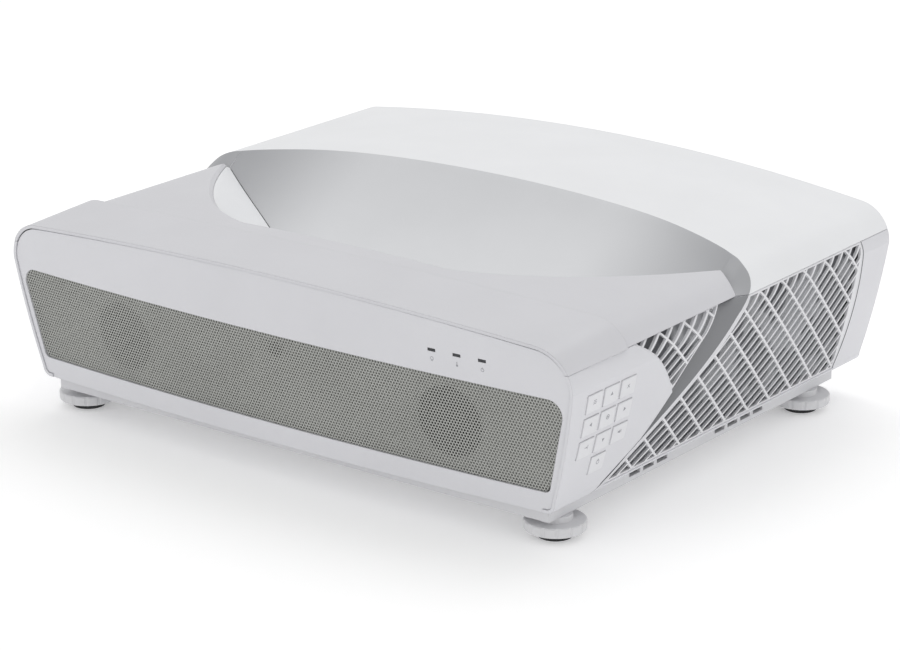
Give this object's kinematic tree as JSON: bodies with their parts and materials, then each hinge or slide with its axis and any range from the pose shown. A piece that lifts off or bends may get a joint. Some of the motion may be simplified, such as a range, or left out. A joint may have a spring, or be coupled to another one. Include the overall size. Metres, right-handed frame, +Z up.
{
  "type": "home projector",
  "caption": "Ultra-short-throw home projector: wide bowed front with a mesh loudspeaker grille, recessed light well in the top, vented sides, side keypad and screw feet.",
  "frame": {"origin": "on the surface it stands on, under the middle of its outline", "axes": "+Z up, -Y towards the loudspeaker front, +Y towards the wall it projects on, +X to the keypad side"},
  "size_m": [0.51, 0.417, 0.168],
  "materials": {
    "white_abs": "fine satin moulding",
    "gloss_white_abs": "satin gloss moulding",
    "vent_plastic": "satin moulding",
    "tray_plastic": "satin moulding",
    "mesh_steel": "painted perforated sheet",
    "baffle_plastic": "matt",
    "black_steel": "black paint",
    "speaker_paper": "matt",
    "smoked_plastic": "polished",
    "indicator_plastic": "smooth",
    "window_glass": "coated",
    "key_plastic": "satin",
    "foot_plastic": "satin",
    "foot_rubber": "matt",
    "insert_brass": "turned",
    "screw_steel": "zinc plated",
    "circuit_board": "solder mask",
    "port_steel": "nickel plated",
    "port_blue": "moulded",
    "socket_black": "moulded",
    "black_aluminium": "black anodised",
    "cast_aluminium": "die cast",
    "heat_sink_aluminium": "extruded",
    "mirror_coating": "vacuum coated",
    "motor_steel": "pressed",
    "phosphor_disc": "coated ring",
    "fan_plastic": "moulded"
  },
  "bodies": {
    "housing": {"front_bezel": "white_abs", "left_front_panel": "white_abs", "right_front_panel": "white_abs", "left_rear_side_panel": "white_abs", "right_rear_side_panel": "white_abs", "rear_panel": "white_abs", "top_front_cover": "gloss_white_abs", "top_rear_cover": "gloss_white_abs", "light_well": "gloss_white_abs", "left_front_vent": "vent_plastic", "right_front_vent": "vent_plastic", "left_rear_vent": "vent_plastic", "right_rear_vent": "vent_plastic", "bottom_tray": "tray_plastic", "speaker_grille": "mesh_steel", "front_baffle": "baffle_plastic", "speaker_baskets": "black_steel", "speaker_cones": "speaker_paper", "ir_receiver": "smoked_plastic", "indicator_lenses": "indicator_plastic", "projection_window": "window_glass", "foot_inserts": "insert_brass", "cover_screws": "screw_steel", "keypad_board": "circuit_board", "main_board": "circuit_board", "power_supply": "circuit_board", "hdmi_ports": "port_steel", "vga_port": "port_blue", "data_ports": "port_steel", "audio_jacks": "socket_black", "ac_inlet": "socket_black", "projection_lens": "black_aluminium", "light_engine": "cast_aluminium", "laser_module": "cast_aluminium", "heat_sink": "heat_sink_aluminium", "curved_mirror": "mirror_coating", "wheel_mount": "motor_steel", "fan_frames": "fan_plastic"},
    "key_menu": {"key_menu": "key_plastic"},
    "key_up": {"key_up": "key_plastic"},
    "key_exit": {"key_exit": "key_plastic"},
    "key_left": {"key_left": "key_plastic"},
    "key_enter": {"key_enter": "key_plastic"},
    "key_right": {"key_right": "key_plastic"},
    "key_source": {"key_source": "key_plastic"},
    "key_down": {"key_down": "key_plastic"},
    "key_volume": {"key_volume": "key_plastic"},
    "key_power": {"key_power": "key_plastic"},
    "fan_rotor_left": {"fan_rotor_left": "fan_plastic"},
    "fan_rotor_right_front": {"fan_rotor_right_front": "fan_plastic"},
    "fan_rotor_right_rear": {"fan_rotor_right_rear": "fan_plastic"},
    "phosphor_wheel": {"phosphor_wheel": "phosphor_disc"},
    "foot_pad_front_left": {"foot_pad_front_left": "foot_rubber"},
    "foot_front_left": {"foot_front_left": "foot_plastic"},
    "foot_pad_front_right": {"foot_pad_front_right": "foot_rubber"},
    "foot_front_right": {"foot_front_right": "foot_plastic"},
    "foot_pad_rear_left": {"foot_pad_rear_left": "foot_rubber"},
    "foot_rear_left": {"foot_rear_left": "foot_plastic"},
    "foot_pad_rear_right": {"foot_pad_rear_right": "foot_rubber"},
    "foot_rear_right": {"foot_rear_right": "foot_plastic"}
  },
  "joints": [
    {"name": "key_menu_press", "type": "slide", "parent": "housing", "child": "key_menu", "axis": [-0.9741, 0, 0.226], "range_m": [0, 0.0008], "stiffness_N_per_m": 800, "springref_m": -0.0006},
    {"name": "key_up_press", "type": "slide", "parent": "housing", "child": "key_up", "axis": [-0.9741, 0, 0.226], "range_m": [0, 0.0008], "stiffness_N_per_m": 800, "springref_m": -0.0006},
    {"name": "key_exit_press", "type": "slide", "parent": "housing", "child": "key_exit", "axis": [-0.9741, 0, 0.226], "range_m": [0, 0.0008], "stiffness_N_per_m": 800, "springref_m": -0.0006},
    {"name": "key_left_press", "type": "slide", "parent": "housing", "child": "key_left", "axis": [-0.9741, 0, 0.226], "range_m": [0, 0.0008], "stiffness_N_per_m": 800, "springref_m": -0.0006},
    {"name": "key_enter_press", "type": "slide", "parent": "housing", "child": "key_enter", "axis": [-0.9741, 0, 0.226], "range_m": [0, 0.0008], "stiffness_N_per_m": 800, "springref_m": -0.0006},
    {"name": "key_right_press", "type": "slide", "parent": "housing", "child": "key_right", "axis": [-0.9741, 0, 0.226], "range_m": [0, 0.0008], "stiffness_N_per_m": 800, "springref_m": -0.0006},
    {"name": "key_source_press", "type": "slide", "parent": "housing", "child": "key_source", "axis": [-0.9741, 0, 0.226], "range_m": [0, 0.0008], "stiffness_N_per_m": 800, "springref_m": -0.0006},
    {"name": "key_down_press", "type": "slide", "parent": "housing", "child": "key_down", "axis": [-0.9741, 0, 0.226], "range_m": [0, 0.0008], "stiffness_N_per_m": 800, "springref_m": -0.0006},
    {"name": "key_volume_press", "type": "slide", "parent": "housing", "child": "key_volume", "axis": [-0.9741, 0, 0.226], "range_m": [0, 0.0008], "stiffness_N_per_m": 800, "springref_m": -0.0006},
    {"name": "key_power_press", "type": "slide", "parent": "housing", "child": "key_power", "axis": [-0.9741, 0, 0.226], "range_m": [0, 0.0008], "stiffness_N_per_m": 800, "springref_m": -0.0006},
    {"name": "fan_rotor_left_spin", "type": "hinge", "parent": "housing", "child": "fan_rotor_left", "pos_m": [-0.203, 0.06, 0.078], "axis": [1, 0, 0], "continuous": true},
    {"name": "fan_rotor_right_front_spin", "type": "hinge", "parent": "housing", "child": "fan_rotor_right_front", "pos_m": [0.203, 0.02, 0.078], "axis": [1, 0, 0], "continuous": true},
    {"name": "fan_rotor_right_rear_spin", "type": "hinge", "parent": "housing", "child": "fan_rotor_right_rear", "pos_m": [0.203, 0.104, 0.078], "axis": [1, 0, 0], "continuous": true},
    {"name": "phosphor_wheel_spin", "type": "hinge", "parent": "housing", "child": "phosphor_wheel", "pos_m": [0.092, -0.01, 0.062], "axis": [0, 1, 0], "continuous": true},
    {"name": "foot_front_left_height", "type": "slide", "parent": "housing", "child": "foot_pad_front_left", "axis": [0, 0, -1], "range_m": [0, 0.012]},
    {"name": "foot_front_left_turn", "type": "hinge", "parent": "foot_pad_front_left", "child": "foot_front_left", "pos_m": [-0.215, -0.16, 0.01], "axis": [0, 0, 1], "range_deg": [0, 2160]},
    {"name": "foot_front_right_height", "type": "slide", "parent": "housing", "child": "foot_pad_front_right", "axis": [0, 0, -1], "range_m": [0, 0.012]},
    {"name": "foot_front_right_turn", "type": "hinge", "parent": "foot_pad_front_right", "child": "foot_front_right", "pos_m": [0.215, -0.16, 0.01], "axis": [0, 0, 1], "range_deg": [0, 2160]},
    {"name": "foot_rear_left_height", "type": "slide", "parent": "housing", "child": "foot_pad_rear_left", "axis": [0, 0, -1], "range_m": [0, 0.012]},
    {"name": "foot_rear_left_turn", "type": "hinge", "parent": "foot_pad_rear_left", "child": "foot_rear_left", "pos_m": [-0.215, 0.156, 0.01], "axis": [0, 0, 1], "range_deg": [0, 2160]},
    {"name": "foot_rear_right_height", "type": "slide", "parent": "housing", "child": "foot_pad_rear_right", "axis": [0, 0, -1], "range_m": [0, 0.012]},
    {"name": "foot_rear_right_turn", "type": "hinge", "parent": "foot_pad_rear_right", "child": "foot_rear_right", "pos_m": [0.215, 0.156, 0.01], "axis": [0, 0, 1], "range_deg": [0, 2160]}
  ],
  "couplings": [
    {"joint": "foot_front_left_height", "follows": "foot_front_left_turn", "m_per_rad": 0.00031831},
    {"joint": "foot_front_right_height", "follows": "foot_front_right_turn", "m_per_rad": 0.00031831},
    {"joint": "foot_rear_left_height", "follows": "foot_rear_left_turn", "m_per_rad": 0.00031831},
    {"joint": "foot_rear_right_height", "follows": "foot_rear_right_turn", "m_per_rad": 0.00031831}
  ]
}
